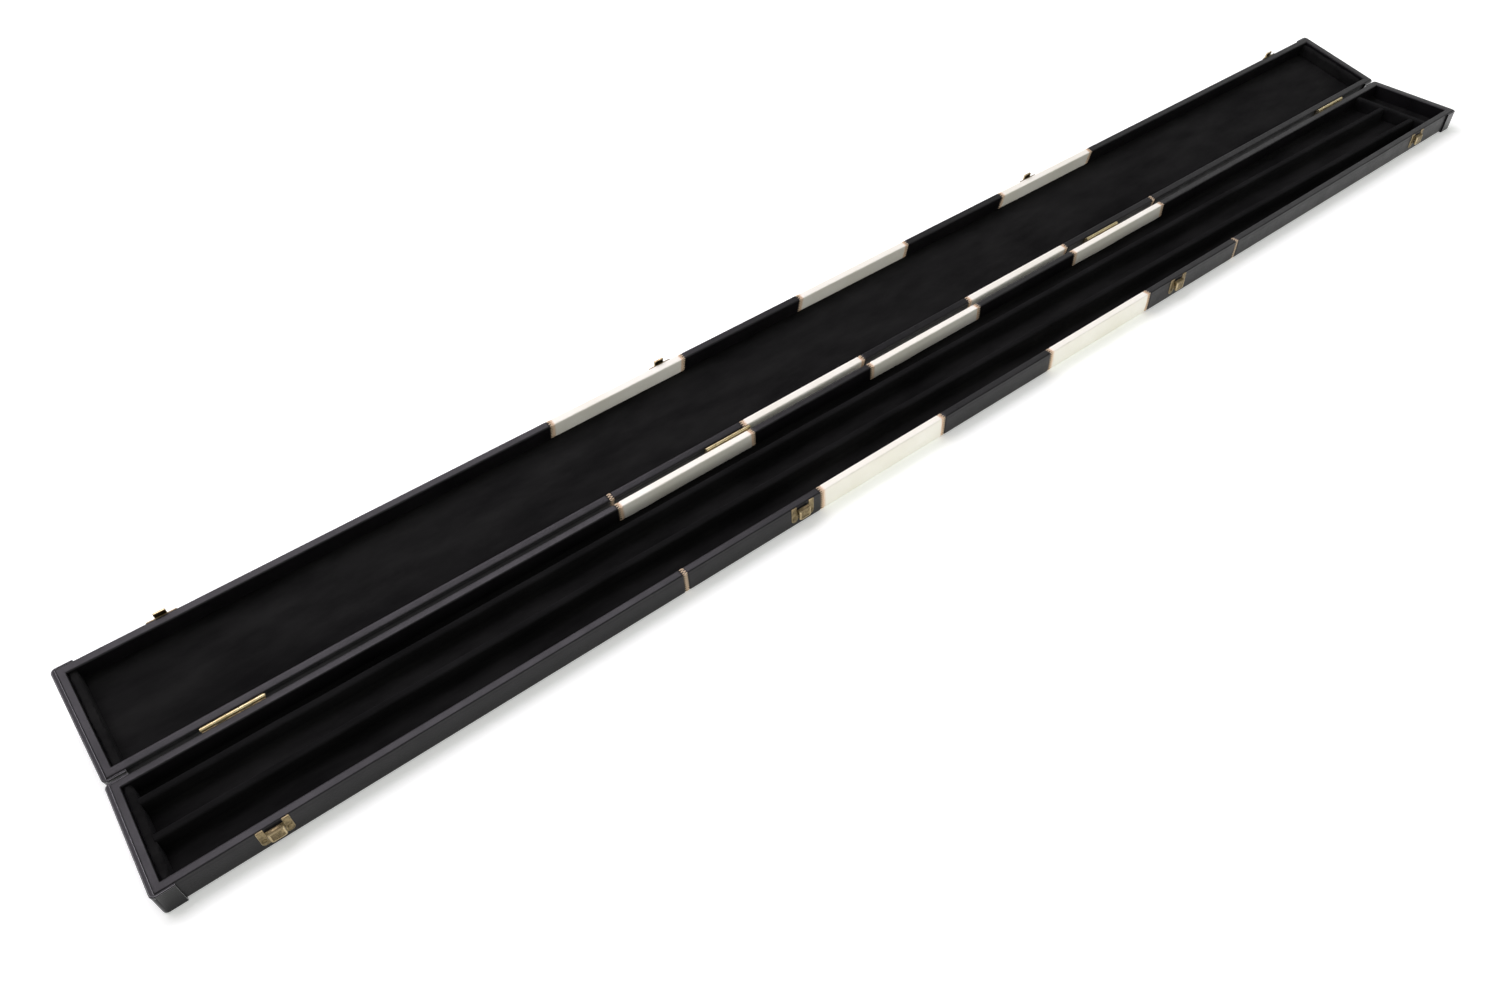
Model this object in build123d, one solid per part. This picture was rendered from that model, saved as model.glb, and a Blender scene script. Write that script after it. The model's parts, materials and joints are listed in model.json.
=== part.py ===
from build123d import *
import os

# One-piece cue case: a long wooden box in two shallow halves, hinged along one long side.
# The tray holds two tapered cue channels with their butts at opposite ends and a channel
# for an extension between them, and a small bay for chalk. The lid is lined with a pad.
# The frame is at rest: the tray lies flat, and the lid is open on its hinge stop.
# Millimetres. X runs along the case, Y from the latch side to the lid, Z is up.
# The tray's box is drawn with its left end at x = 0, its latch face at y = 0 and its
# rim at z = 0. The lid is drawn in the same way, as if it were open flat, and is then tilted.
# Last of all, everything moves so that the origin is the bottom centre of the open case.

# Driving dimensions of each half
LENGTH = 1560.0
WIDTH = 102.6
DEPTH = 22.0
SIDE_RIM = 7.2
END_RIM = 6.0
SKIN = 0.8
TRAY_BOARD = 3.0
TRAY_LINING = 0.8
LID_BOARD = 2.4
LID_PAD = 4.1

# Hinge line and the lid's rest angle
GAP = 5.0
RIM_CLEARANCE = 0.3
LID_TILT = 12.3

# Moulded end caps
CAP_END = 3.4
CAP_SIDE = 2.0
CAP_BOTTOM = 1.8
CAP_RETURN = 13.2
CAP_TOP = -0.6
CAP_CORNER = 4.0
CAP_EDGE = 1.5

# Channels of the tray
END_PAD = 6.5
PAD_TOP = -2.4
PAD_ROUND = 2.6
RIB_WIDTH = 7.0
RIB_TOP = -3.0
RIB_BEVEL = 1.6
RIB_RUNS = 6
RAIL_X = 1510.0
RAIL_WIDTH = 8.0
RAIL_TOP = -2.6
BACK_RIB_FRONT = (74.5, 69.6, 57.5)
FRONT_RIB_FRONT = (40.0, 34.0, 20.0)

# Patchwork of the leather cover
PATCHES = 5
PATCH = 143.0
PATCH_START = (LENGTH - PATCHES * PATCH) / 2

# Butt hinges
HINGE_CENTRES = (90.0, 544.0, 1047.0, 1468.0)
HINGE_LENGTH = 48.0
KNUCKLES = 5
KNUCKLE_GAP = 0.3
BARREL = 2.1
BARREL_CLEARANCE = 0.3
PIN = 0.8
PIN_CLEARANCE = 0.05
PIN_HEAD = 1.4
PIN_HEAD_THICKNESS = 0.6
LEAF = 0.8
LEAF_HEIGHT = 14.0
LEAF_CORNER = 1.5
HINGE_SCREWS = (-18.0, 0.0, 18.0)
HINGE_SCREW_Z = -9.0

# Screws
SCREW_HEAD = 2.1
SCREW_HEAD_THICKNESS = 0.5
SCREW_SHANK = 1.1
SCREW_LENGTH = 5.5
SLOT_WIDTH = 0.5
SLOT_DEPTH = 0.25

# Latches: a plate and a rocking lever on the tray, a strike with a hollow nose on the lid
LATCH_CENTRES = (79.0, 543.0, 1040.0, 1483.0)
PLATE = 0.8
PLATE_WIDTH = 24.0
PLATE_HEIGHT = 17.0
PLATE_TOP = -0.3
PLATE_NOTCH = 13.0
PLATE_NOTCH_DEPTH = 4.0
PLATE_CORNER = 2.5
LATCH_SCREW_X = 9.3
LATCH_SCREW_Z = -12.3
LUG_X = 4.0
LUG = 0.8
LUG_RADIUS = 1.2
LEVER_PIN = 0.6
LEVER_PIN_Y = -2.4
LEVER_PIN_Z = -8.8
LEVER_PIN_HALF = 6.2
LEVER_WIDTH = 12.0
LEVER_WALL = 0.6
LEVER_FRONT = -4.4
LEVER_BACK = -1.2
LEVER_TOP = -2.6
LEVER_BOTTOM = -15.4
LEVER_DIP = 1.2
LEVER_TURN = 12.0
LIP_DEPTH = 0.5
LIP_HEIGHT = 0.7
LIP_WIDTH = 7.0
SPRING_WIDTH = 3.0
SPRING_THICKNESS = 0.3
STRIKE_HEIGHT = 12.0
STRIKE_SCREW_Z = -8.2
NOSE_WIDTH = 9.6
NOSE_RISE = 4.0
NOSE_FRONT = -3.0
NOSE_WALL = 0.6
NOSE_FOOT = -10.5

HINGE_Y = WIDTH + GAP / 2
HINGE_Z = RIM_CLEARANCE / 2
LID_EDGE_Y = WIDTH + GAP
SIDE_WOOD = SIDE_RIM - 2 * SKIN
END_WOOD = END_RIM - 2 * SKIN
TRAY_FLOOR = -DEPTH + SKIN + TRAY_BOARD + TRAY_LINING
LID_FLOOR = -DEPTH + SKIN + LID_BOARD + LID_PAD


def block(x0, x1, y0, y1, z0, z1):
    """A box between two corners."""
    size = (x1 - x0, y1 - y0, z1 - z0)
    return Pos((x0 + x1) / 2, (y0 + y1) / 2, (z0 + z1) / 2) * Box(*size)


def rod(radius, x0, x1, y, z):
    """A round bar along X."""
    return Pos((x0 + x1) / 2, y, z) * Rot(0, 90, 0) * Cylinder(radius, x1 - x0)


def along_x(points, x0, x1):
    """A prism along X whose section is an outline of (y, z) points."""
    face = make_face(Polyline([Vector(0, y, z) for y, z in points], close=True))
    return Pos(x0, 0, 0) * extrude(face, amount=x1 - x0, dir=(1, 0, 0))


def one_part(solids):
    """A list of separate solids as one group."""
    return Compound(children=[s for s in solids])


# ---- the two wooden boxes, drawn alike ------------------------------------------------

def base_board(thickness):
    """The thin board let in between the four walls."""
    return block(END_RIM, LENGTH - END_RIM, SIDE_RIM - SKIN, WIDTH - SIDE_RIM + SKIN,
                 -DEPTH + SKIN, -DEPTH + SKIN + thickness)


def long_wall(y0):
    """A long side wall, full length, inside its leather cover."""
    return block(0, LENGTH, y0 + SKIN, y0 + SKIN + SIDE_WOOD, -DEPTH + SKIN, -SKIN)


def end_wall(x0):
    """An end wall between the two long ones."""
    return block(x0 + SKIN, x0 + SKIN + END_WOOD, SIDE_RIM, WIDTH - SIDE_RIM,
                 -DEPTH + SKIN, -SKIN)


def end_cover(x0):
    """Leather folded over an end wall: outside, rim and inside."""
    outer = block(x0, x0 + END_RIM, SIDE_RIM, WIDTH - SIDE_RIM, -DEPTH + SKIN, 0)
    wood = block(x0 + SKIN, x0 + END_RIM - SKIN, SIDE_RIM, WIDTH - SIDE_RIM,
                 -DEPTH + SKIN, -SKIN)
    return outer - wood


def side_cover(y0, board, x0, x1):
    """Leather folded over a stretch of a long wall: outside, rim and inside to the board."""
    y1 = y0 + SIDE_RIM
    board_top = -DEPTH + SKIN + board
    outside, inside = (y0, y1) if y0 < WIDTH / 2 else (y1, y0)
    toward = 1 if inside > outside else -1
    section = [
        (outside, -DEPTH + SKIN), (outside, 0), (inside, 0), (inside, board_top),
        (inside - toward * SKIN, board_top), (inside - toward * SKIN, -SKIN),
        (outside + toward * SKIN, -SKIN), (outside + toward * SKIN, -DEPTH + SKIN),
    ]
    return along_x(section, x0, x1)


def patches(y0, board, first):
    """Every other patch of the middle stretch, counted from the left."""
    starts = [PATCH_START + PATCH * i for i in range(first, PATCHES, 2)]
    return one_part([side_cover(y0, board, x, x + PATCH) for x in starts])


def underside_cover():
    """Leather over the broad outer face."""
    return block(0, LENGTH, 0, WIDTH, -DEPTH, -DEPTH + SKIN)


def end_cap(left):
    """Moulded cap over one end, open towards the rim, with a short return on each side."""
    x0, x1 = (-CAP_END, CAP_RETURN) if left else (LENGTH - CAP_RETURN, LENGTH + CAP_END)
    shell = block(x0, x1, -CAP_SIDE, WIDTH + CAP_SIDE, -DEPTH - CAP_BOTTOM, CAP_TOP)
    end_x = x0 if left else x1
    uprights = [e for e in shell.edges().filter_by(Axis.Z) if abs(e.center().X - end_x) < 1]
    shell = fillet(uprights, CAP_CORNER)
    bottom = shell.faces().sort_by(Axis.Z)[0]
    rims = [e for e in bottom.edges() if abs(e.center().X - (x1 if left else x0)) > 1]
    shell = fillet(rims, CAP_EDGE)
    box = block(0, LENGTH, 0, WIDTH, -DEPTH, 1)
    return shell - box


def end_pad(x0, floor_z):
    """Soft pad against an end wall, rounded along its top edges."""
    pad = block(x0, x0 + END_PAD, SIDE_RIM, WIDTH - SIDE_RIM, floor_z, PAD_TOP)
    top = pad.faces().sort_by(Axis.Z)[-1]
    return fillet(top.edges().filter_by(Axis.Y), PAD_ROUND)


# ---- inside the tray ------------------------------------------------------------------

def tray_floor_lining():
    """Velvet glued over the board, wall to wall."""
    return block(END_RIM, LENGTH - END_RIM, SIDE_RIM, WIDTH - SIDE_RIM,
                 TRAY_FLOOR - TRAY_LINING, TRAY_FLOOR)


def bowed(front_edge, t):
    """The rib's front edge at a fraction t of its length: a shallow curve through three values."""
    start, middle, end = front_edge
    slope = 4 * middle - end - 3 * start
    bend = 2 * start + 2 * end - 4 * middle
    return start + slope * t + bend * t * t


def channel_rib(front_edge):
    """A long rib that bows gently across the tray in short runs, with bevelled top edges."""
    x0 = END_RIM + END_PAD
    stations = [i / RIB_RUNS for i in range(RIB_RUNS + 1)]
    front = [(x0 + t * (RAIL_X - x0), bowed(front_edge, t)) for t in stations]
    back = [(x, y + RIB_WIDTH) for x, y in reversed(front)]
    face = make_face(Polyline(front + back, close=True))
    rib = extrude(Pos(0, 0, TRAY_FLOOR) * face, amount=RIB_TOP - TRAY_FLOOR, dir=(0, 0, 1))
    top = rib.faces().sort_by(Axis.Z)[-1]
    long_edges = [e for e in top.edges() if e.length > 2 * RIB_WIDTH]
    return chamfer(long_edges, RIB_BEVEL)


def bay_rail():
    """The cross rail between the channels and the accessory bay."""
    rail = block(RAIL_X, RAIL_X + RAIL_WIDTH, SIDE_RIM, WIDTH - SIDE_RIM,
                 TRAY_FLOOR, RAIL_TOP)
    top = rail.faces().sort_by(Axis.Z)[-1]
    return fillet(top.edges().filter_by(Axis.Y), RIB_BEVEL)


def lid_pad():
    """The lid's padded velvet panel."""
    return block(END_RIM, LENGTH - END_RIM, SIDE_RIM, WIDTH - SIDE_RIM,
                 LID_FLOOR - LID_PAD, LID_FLOOR)


# ---- screws ---------------------------------------------------------------------------

def screw(x, z, head_y, outward):
    """A small slotted screw along Y: its head sits on head_y, its shank runs into the wood."""
    head = Pos(x, head_y + outward * SCREW_HEAD_THICKNESS / 2, z) * Rot(90, 0, 0) * Cylinder(
        SCREW_HEAD, SCREW_HEAD_THICKNESS)
    rim = head.faces().sort_by(Axis.Y)[-1 if outward > 0 else 0].edges()
    head = fillet(rim, SCREW_HEAD_THICKNESS * 0.6)
    shank = Pos(x, head_y - outward * SCREW_LENGTH / 2, z) * Rot(90, 0, 0) * Cylinder(
        SCREW_SHANK, SCREW_LENGTH)
    face_y = head_y + outward * SCREW_HEAD_THICKNESS
    slot = Pos(x, face_y, z) * Rot(0, 35, 0) * Box(2 * SCREW_HEAD + 1, 2 * SLOT_DEPTH, SLOT_WIDTH)
    return head + shank - slot


def screw_hole(x, z, y):
    """The hole of one screw, through the fitting and into the wall behind the face at y."""
    return Pos(x, y, z) * Rot(90, 0, 0) * Cylinder(SCREW_SHANK, 2 * SCREW_LENGTH)


# ---- hinges ---------------------------------------------------------------------------

def knuckle_spans(centre, parity):
    """The X spans of the knuckles that belong to one leaf."""
    pitch = HINGE_LENGTH / KNUCKLES
    left = centre - HINGE_LENGTH / 2
    spans = [(left + i * pitch, left + (i + 1) * pitch) for i in range(KNUCKLES)]
    return [(a, b) for i, (a, b) in enumerate(spans) if i % 2 == parity]


def hinge_leaf(centre, face_y, outward, parity):
    """One leaf with its rolled knuckles, screwed to the outside of a hinge-side wall."""
    half = HINGE_LENGTH / 2
    leaf = block(centre - half, centre + half, min(face_y, face_y + outward * LEAF),
                 max(face_y, face_y + outward * LEAF), -LEAF_HEIGHT, HINGE_Z)
    low = [e for e in leaf.edges().filter_by(Axis.Y) if e.center().Z < -LEAF_HEIGHT + 1]
    leaf = fillet(low, LEAF_CORNER)
    for x0, x1 in knuckle_spans(centre, 1 - parity):
        leaf -= rod(BARREL + BARREL_CLEARANCE, x0 - KNUCKLE_GAP / 2, x1 + KNUCKLE_GAP / 2,
                    HINGE_Y, HINGE_Z)
    for x0, x1 in knuckle_spans(centre, parity):
        leaf += rod(BARREL, x0 + KNUCKLE_GAP / 2, x1 - KNUCKLE_GAP / 2, HINGE_Y, HINGE_Z)
    leaf -= rod(PIN + PIN_CLEARANCE, centre - half - 1, centre + half + 1, HINGE_Y, HINGE_Z)
    for dx in HINGE_SCREWS:
        leaf -= screw_hole(centre + dx, HINGE_SCREW_Z, face_y)
    return leaf


def hinge_pin(centre):
    """The pin through all five knuckles, with a small head at each end."""
    half = HINGE_LENGTH / 2 - KNUCKLE_GAP / 2
    pin = rod(PIN, centre - half, centre + half, HINGE_Y, HINGE_Z)
    for side in (-1, 1):
        x = centre + side * half
        pin += rod(PIN_HEAD, min(x, x + side * PIN_HEAD_THICKNESS),
                   max(x, x + side * PIN_HEAD_THICKNESS), HINGE_Y, HINGE_Z)
    return pin


def hinge_screws(face_y, outward):
    """Three screws for each of the four leaves on one wall."""
    head_y = face_y + outward * LEAF
    return [screw(c + dx, HINGE_SCREW_Z, head_y, outward)
            for c in HINGE_CENTRES for dx in HINGE_SCREWS]


# ---- latches --------------------------------------------------------------------------

def latch_plate(centre):
    """Back plate with two ears up to the rim, screwed on, and two lugs for the lever's pin."""
    plate = block(centre - PLATE_WIDTH / 2, centre + PLATE_WIDTH / 2, -PLATE, 0,
                  PLATE_TOP - PLATE_HEIGHT, PLATE_TOP)
    plate = fillet(plate.edges().filter_by(Axis.Y), PLATE_CORNER)
    plate -= block(centre - PLATE_NOTCH / 2, centre + PLATE_NOTCH / 2, -2 * PLATE, PLATE,
                   PLATE_TOP - PLATE_NOTCH_DEPTH, 1)
    for side in (-1, 1):
        x = centre + side * LUG_X
        plate += block(x - LUG / 2, x + LUG / 2, LEVER_PIN_Y, -PLATE,
                       LEVER_PIN_Z - LUG_RADIUS, LEVER_PIN_Z + LUG_RADIUS)
        plate += rod(LUG_RADIUS, x - LUG / 2, x + LUG / 2, LEVER_PIN_Y, LEVER_PIN_Z)
        plate -= screw_hole(centre + side * LATCH_SCREW_X, LATCH_SCREW_Z, 0)
    plate -= rod(LEVER_PIN + PIN_CLEARANCE, centre - LEVER_WIDTH, centre + LEVER_WIDTH,
                 LEVER_PIN_Y, LEVER_PIN_Z)
    return plate


def latch_pin(centre):
    """The pin that the lever rocks on."""
    return rod(LEVER_PIN, centre - LEVER_PIN_HALF, centre + LEVER_PIN_HALF,
               LEVER_PIN_Y, LEVER_PIN_Z)


def latch_spring(centre):
    """A bowed strip of spring steel between the plate and the foot of the lever."""
    top, foot = LEVER_PIN_Z - LUG_RADIUS - 0.6, LEVER_BOTTOM + 0.8
    bow_y = -PLATE - 1.0
    middle = (top + foot) / 2
    t = SPRING_THICKNESS
    section = [
        (-PLATE, top), (-PLATE - t, top), (bow_y - t, middle), (-PLATE - t, foot), (-PLATE, foot),
        (bow_y, middle),
    ]
    return along_x(section, centre - SPRING_WIDTH / 2, centre + SPRING_WIDTH / 2)


def latch_lever(centre):
    """The rocking box: a front plate with a dipped top edge, two cheeks and a catch lip."""
    half = LEVER_WIDTH / 2
    cheek = [
        (LEVER_FRONT, LEVER_TOP), (LEVER_BACK, LEVER_TOP), (LEVER_BACK, LEVER_PIN_Z),
        (LEVER_FRONT + 1.0, LEVER_BOTTOM), (LEVER_FRONT, LEVER_BOTTOM),
    ]
    lever = along_x(cheek, centre - half, centre + half)
    lever -= block(centre - half + LEVER_WALL, centre + half - LEVER_WALL,
                   LEVER_FRONT + LEVER_WALL, 1, LEVER_BOTTOM - 1, 0)
    lever += block(centre - LIP_WIDTH / 2, centre + LIP_WIDTH / 2, LEVER_FRONT + LEVER_WALL / 2,
                   LEVER_FRONT + LEVER_WALL + LIP_DEPTH,
                   LEVER_TOP - LEVER_DIP - LIP_HEIGHT, LEVER_TOP - LEVER_DIP)
    dip_radius = (LIP_WIDTH ** 2 / 4 + LEVER_DIP ** 2) / (2 * LEVER_DIP)
    dip = Pos(centre, LEVER_FRONT, LEVER_TOP - LEVER_DIP + dip_radius) * Rot(90, 0, 0) * Cylinder(
        dip_radius, 4 * LEVER_WALL)
    lever -= dip
    lever -= rod(LEVER_PIN + PIN_CLEARANCE, centre - LEVER_WIDTH, centre + LEVER_WIDTH,
                 LEVER_PIN_Y, LEVER_PIN_Z)
    return lever


def strike(centre):
    """The lid's plate with ears and a hollow nose that reaches past the rim."""
    face_y = LID_EDGE_Y + WIDTH
    plate = block(centre - PLATE_WIDTH / 2, centre + PLATE_WIDTH / 2, face_y, face_y + PLATE,
                  PLATE_TOP - STRIKE_HEIGHT, PLATE_TOP)
    plate = fillet(plate.edges().filter_by(Axis.Y), PLATE_CORNER)
    half = NOSE_WIDTH / 2
    nose = block(centre - half, centre + half, face_y, face_y - NOSE_FRONT, NOSE_FOOT, NOSE_RISE)
    edges = [e for e in nose.edges().filter_by(Axis.X) if e.center().Y > face_y + 1]
    nose = fillet(edges, NOSE_WALL)
    hollow = block(centre - half + NOSE_WALL, centre + half - NOSE_WALL, face_y - 1,
                   face_y - NOSE_FRONT - NOSE_WALL, NOSE_FOOT + NOSE_WALL, NOSE_RISE - NOSE_WALL)
    behind = block(centre - half - 1, centre + half + 1, face_y - 1, face_y + PLATE + 0.5,
                   RIM_CLEARANCE, NOSE_RISE + 1)
    body = plate + nose - hollow - behind
    for side in (-1, 1):
        body -= screw_hole(centre + side * LATCH_SCREW_X, STRIKE_SCREW_Z, face_y)
    return body


def plate_screws(face_y, outward, z):
    """Two screws for each of the four plates on one long face."""
    head_y = face_y + outward * PLATE
    return [screw(c + side * LATCH_SCREW_X, z, head_y, outward)
            for c in LATCH_CENTRES for side in (-1, 1)]


# ---- the two halves as named parts ----------------------------------------------------

def half_parts(name, near_side, far_side, board):
    """The wooden box of one half with its leather and caps, drawn with its near wall at y = 0."""
    far_y = WIDTH - SIDE_RIM
    patch_end = PATCH_START + PATCHES * PATCH
    parts = {
        f"{name}_base_board": base_board(board),
        f"{name}_{near_side}_wall": long_wall(0),
        f"{name}_{far_side}_wall": long_wall(far_y),
        f"{name}_left_end_wall": end_wall(0),
        f"{name}_right_end_wall": end_wall(LENGTH - END_RIM),
        f"{name}_left_end_cover": end_cover(0),
        f"{name}_right_end_cover": end_cover(LENGTH - END_RIM),
        f"{name}_broad_cover": underside_cover(),
        f"{name}_left_cap": end_cap(True),
        f"{name}_right_cap": end_cap(False),
    }
    for side, y0, black_first in ((near_side, 0, 0), (far_side, far_y, 1)):
        parts[f"{name}_{side}_cover_left"] = side_cover(y0, board, 0, PATCH_START)
        parts[f"{name}_{side}_cover_right"] = side_cover(y0, board, patch_end, LENGTH)
        parts[f"{name}_{side}_patches_black"] = patches(y0, board, black_first)
        parts[f"{name}_{side}_patches_cream"] = patches(y0, board, 1 - black_first)
    return parts


def with_screw_holes(parts, node, holes):
    """Drill a node for the shanks of the screws."""
    solids = [s for s in parts[node].solids()]
    drilled = []
    for solid in solids:
        box = solid.bounding_box()
        for x, z, y in holes:
            if box.min.X - SCREW_SHANK < x < box.max.X + SCREW_SHANK:
                solid = solid - screw_hole(x, z, y)
        drilled.append(solid)
    parts[node] = drilled[0] if len(drilled) == 1 else one_part(drilled)


def drill_side(parts, prefix, holes):
    """Drill the wall and every cover of one long side."""
    for node in [n for n in parts if n.startswith(prefix)]:
        with_screw_holes(parts, node, holes)


def tray_parts():
    parts = half_parts("tray", "latch_side", "hinge_side", TRAY_BOARD)
    latch = [(c + s * LATCH_SCREW_X, LATCH_SCREW_Z, 0) for c in LATCH_CENTRES for s in (-1, 1)]
    hinge = [(c + dx, HINGE_SCREW_Z, WIDTH) for c in HINGE_CENTRES for dx in HINGE_SCREWS]
    drill_side(parts, "tray_latch_side", latch)
    drill_side(parts, "tray_hinge_side", hinge)
    parts["tray_floor_lining"] = tray_floor_lining()
    parts["tray_left_end_pad"] = end_pad(END_RIM, TRAY_FLOOR)
    parts["back_channel_rib"] = channel_rib(BACK_RIB_FRONT)
    parts["front_channel_rib"] = channel_rib(FRONT_RIB_FRONT)
    parts["accessory_bay_rail"] = bay_rail()
    parts["tray_hinge_leaves"] = one_part([hinge_leaf(c, WIDTH, 1, 0) for c in HINGE_CENTRES])
    parts["hinge_pins"] = one_part([hinge_pin(c) for c in HINGE_CENTRES])
    parts["tray_hinge_screws"] = one_part(hinge_screws(WIDTH, 1))
    parts["latch_plates"] = one_part([latch_plate(c) for c in LATCH_CENTRES])
    parts["latch_plate_screws"] = one_part(plate_screws(0, -1, LATCH_SCREW_Z))
    parts["latch_pins"] = one_part([latch_pin(c) for c in LATCH_CENTRES])
    parts["latch_springs"] = one_part([latch_spring(c) for c in LATCH_CENTRES])
    for number, centre in enumerate(LATCH_CENTRES, 1):
        parts[f"latch_lever_{number}"] = latch_lever(centre)
    return parts


def lid_parts():
    """The lid's own box moves out to the hinge line, then everything of the lid tilts."""
    parts = half_parts("lid", "hinge_side", "latch_side", LID_BOARD)
    hinge = [(c + dx, HINGE_SCREW_Z, 0) for c in HINGE_CENTRES for dx in HINGE_SCREWS]
    latch = [(c + s * LATCH_SCREW_X, STRIKE_SCREW_Z, WIDTH) for c in LATCH_CENTRES for s in (-1, 1)]
    drill_side(parts, "lid_hinge_side", hinge)
    drill_side(parts, "lid_latch_side", latch)
    parts["lid_lining_pad"] = lid_pad()
    parts["lid_left_end_pad"] = end_pad(END_RIM, LID_FLOOR)
    parts["lid_right_end_pad"] = end_pad(LENGTH - END_RIM - END_PAD, LID_FLOOR)
    parts = {node: Pos(0, LID_EDGE_Y, 0) * part for node, part in parts.items()}
    parts["lid_hinge_leaves"] = one_part([hinge_leaf(c, LID_EDGE_Y, -1, 1) for c in HINGE_CENTRES])
    parts["lid_hinge_screws"] = one_part(hinge_screws(LID_EDGE_Y, -1))
    parts["strike_plates"] = one_part([strike(c) for c in LATCH_CENTRES])
    parts["strike_screws"] = one_part(plate_screws(LID_EDGE_Y + WIDTH, 1, STRIKE_SCREW_Z))
    tilt = Pos(0, HINGE_Y, HINGE_Z) * Rot(LID_TILT, 0, 0) * Pos(0, -HINGE_Y, -HINGE_Z)
    return {node: tilt * part for node, part in parts.items()}


def main():
    os.makedirs("parts", exist_ok=True)
    parts = {**tray_parts(), **lid_parts()}
    boxes = [part.bounding_box() for part in parts.values()]
    low = [min(getattr(b.min, axis) for b in boxes) for axis in "XYZ"]
    high = [max(getattr(b.max, axis) for b in boxes) for axis in "XYZ"]
    shift = Pos(-(low[0] + high[0]) / 2, -(low[1] + high[1]) / 2, -low[2])
    print("case box", [round(h - l, 2) for l, h in zip(low, high)])
    print("origin in the drawing", [round(-v, 4) for v in shift.position])
    for node, part in parts.items():
        placed = shift * part
        placed.label = node
        export_step(placed, f"parts/{node}.step")
    print(len(parts), "nodes")


main()
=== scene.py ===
"""Looks of the open cue case: patchwork leather, zigzag seams, velvet lining and brass fittings.

Shapes are written in millimetres in the frame each half is drawn in: x along the case from the
left end of the box, y across from the near long side, z up with the rim at 0. TRAY and LID
place that drawing in the row frame, in metres.
"""
import json
import math
import bmesh
import bpy
import numpy as np
from mathutils import Matrix, Vector


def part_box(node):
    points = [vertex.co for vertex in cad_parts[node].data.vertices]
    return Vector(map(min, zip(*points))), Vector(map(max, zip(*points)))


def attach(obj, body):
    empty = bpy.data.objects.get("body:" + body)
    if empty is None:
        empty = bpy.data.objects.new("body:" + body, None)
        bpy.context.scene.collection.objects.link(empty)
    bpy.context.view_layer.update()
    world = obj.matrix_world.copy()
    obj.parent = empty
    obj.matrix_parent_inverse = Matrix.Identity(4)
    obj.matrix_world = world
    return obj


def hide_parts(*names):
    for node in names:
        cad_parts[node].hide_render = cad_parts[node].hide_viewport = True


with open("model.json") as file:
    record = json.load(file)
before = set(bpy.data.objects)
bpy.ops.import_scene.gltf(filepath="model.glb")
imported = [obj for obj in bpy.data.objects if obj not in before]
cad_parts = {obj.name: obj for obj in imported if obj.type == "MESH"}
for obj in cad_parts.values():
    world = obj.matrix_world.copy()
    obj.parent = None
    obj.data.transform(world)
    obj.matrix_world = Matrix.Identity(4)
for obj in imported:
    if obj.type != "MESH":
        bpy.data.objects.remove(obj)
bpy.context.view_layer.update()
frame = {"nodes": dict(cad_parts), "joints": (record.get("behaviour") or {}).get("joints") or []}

MM = 0.001

# Sizes shared with the CAD, mm
LENGTH = 1560.0
WIDTH = 102.6
DEPTH = 22.0
SIDE_RIM = 7.2
END_RIM = 6.0
SKIN = 0.8
TRAY_FLOOR = -17.4
TRAY_LINING = 0.8
LID_FLOOR = -14.7
LID_PAD = 4.1
GAP = 5.0
LID_TILT = 12.3
CAP_END = 3.4
CAP_SIDE = 2.0
CAP_BOTTOM = 1.8
CAP_RETURN = 13.2
CAP_TOP = -0.6
CAP_CORNER = 4.0
CAP_EDGE = 1.5
END_PAD = 6.5
PAD_TOP = -2.4
RIB_WIDTH = 7.0
RIB_TOP = -3.0
RAIL_X = 1510.0
RAIL_WIDTH = 8.0
RAIL_TOP = -2.6
BACK_RIB_FRONT = (74.5, 69.6, 57.5)
FRONT_RIB_FRONT = (40.0, 34.0, 20.0)
PATCHES = 5
PATCH = 143.0
PATCH_START = (LENGTH - PATCHES * PATCH) / 2
HINGE_CENTRES = (90.0, 544.0, 1047.0, 1468.0)
HINGE_LENGTH = 48.0
KNUCKLES = 5
HINGE_SCREWS = (-18.0, 0.0, 18.0)
HINGE_SCREW_Z = -9.0
LEAF = 0.8
LEAF_HEIGHT = 14.0
HINGE_Z = 0.15
LATCH_CENTRES = (79.0, 543.0, 1040.0, 1483.0)
PLATE = 0.8
PLATE_TOP = -0.3
LATCH_SCREW_X = 9.3
LATCH_SCREW_Z = -12.3
PLATE_HALF = 12.0
STRIKE_SCREW_Z = -8.2
STRIKE_LOW = -12.3
SCREW_HEAD = 2.1
LEVER_HALF = 6.0
LEVER_HIGH = -2.6
LEVER_BACK = -1.2
LEVER_RISE = 3.2
LUG_X = 4.0
LUG = 0.8
LUG_RADIUS = 1.2
PIN_Y = -2.4
PIN_Z = -8.8
NOSE_HALF = 4.8
NOSE_LOW = -10.5
NOSE_HIGH = 4.0

# Details that only the looks have, mm
RIM_ROUND = 1.1
TURN_UNDER = 6.0
SEAM_DIP = 0.6
SEAM_FLAT = 2.0
SEAM_EDGE = 3.1
STITCH_HALF = 2.15
STITCH_STEP = 1.22
THREAD = 0.31
GROOVE_Z = -2.6
GROOVE_DEPTH = 0.35
BARREL = 1.45
BORE = 0.85
COVE = 5.0
LEVER_LOW = -14.2
LEVER_DIP = 1.4
LEVER_DIP_HALF = 5.3
LEVER_TOE = 2.2
LEVER_SLOPE = 2.0
SLOT_HALF = 0.27
CIRCLE = [2 * math.pi * k / 28 for k in range(28)]

# The viewpoint, in metres and degrees
CAMERA_PLACE = (-0.6459, -0.6115, 0.7013)
CAMERA_TURN = (44.0747, 2.5782, -37.7349)
CAMERA_LENS = 26.81
FLOOR_REACH = 40.0

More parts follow.
